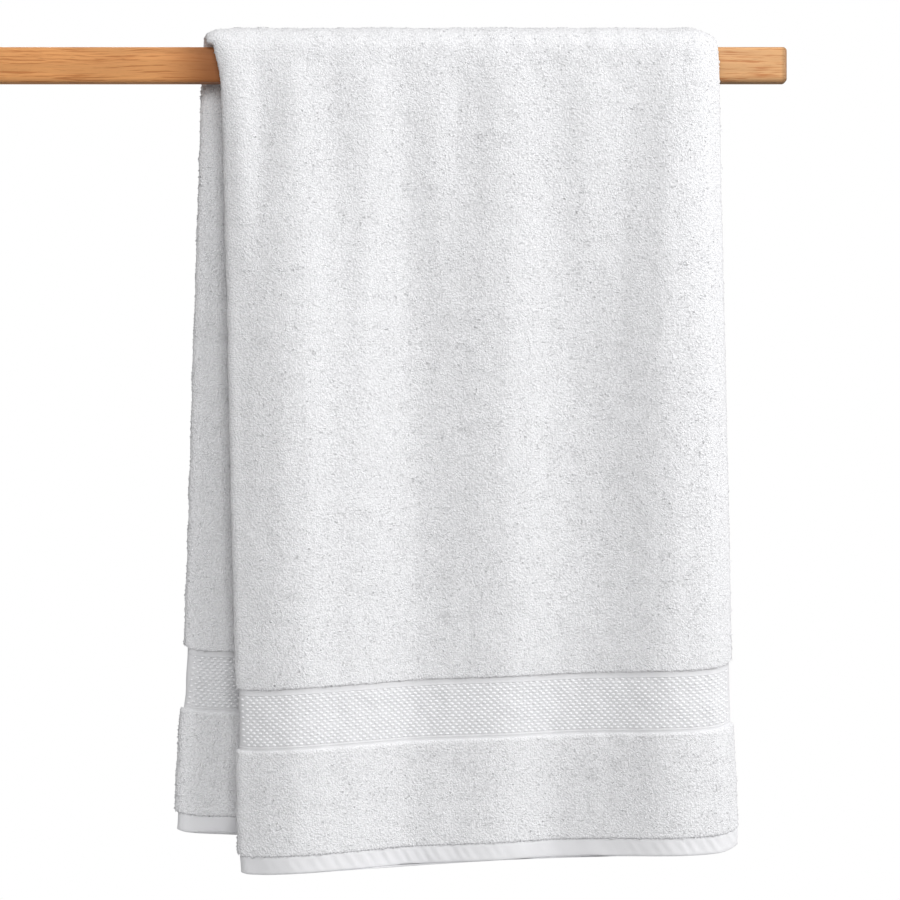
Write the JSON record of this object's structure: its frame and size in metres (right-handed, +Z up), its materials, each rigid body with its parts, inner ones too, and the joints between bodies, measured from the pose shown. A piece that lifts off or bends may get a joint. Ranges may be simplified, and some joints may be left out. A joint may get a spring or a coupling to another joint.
{
  "type": "bath towel on a wooden bar",
  "caption": "A white terry bath towel, folded in half lengthwise and hung over a plain square-cut oak bar, with a woven dobby band and a turned hem at each end.",
  "frame": {"origin": "middle of the bar's flat end face at the left, where a wall or bracket holds it", "axes": "+X along the bar away from the wall, -Y the towel's front, +Z up"},
  "size_m": [0.64, 0.0711, 0.6467],
  "materials": {
    "cotton": "white cotton terry pile with flat woven bands, fully matt",
    "oak": "planed oak with a satin oil finish, fine grain along the bar"
  },
  "bodies": {
    "root": {"towel": "cotton", "bar": "oak"}
  },
  "joints": []
}
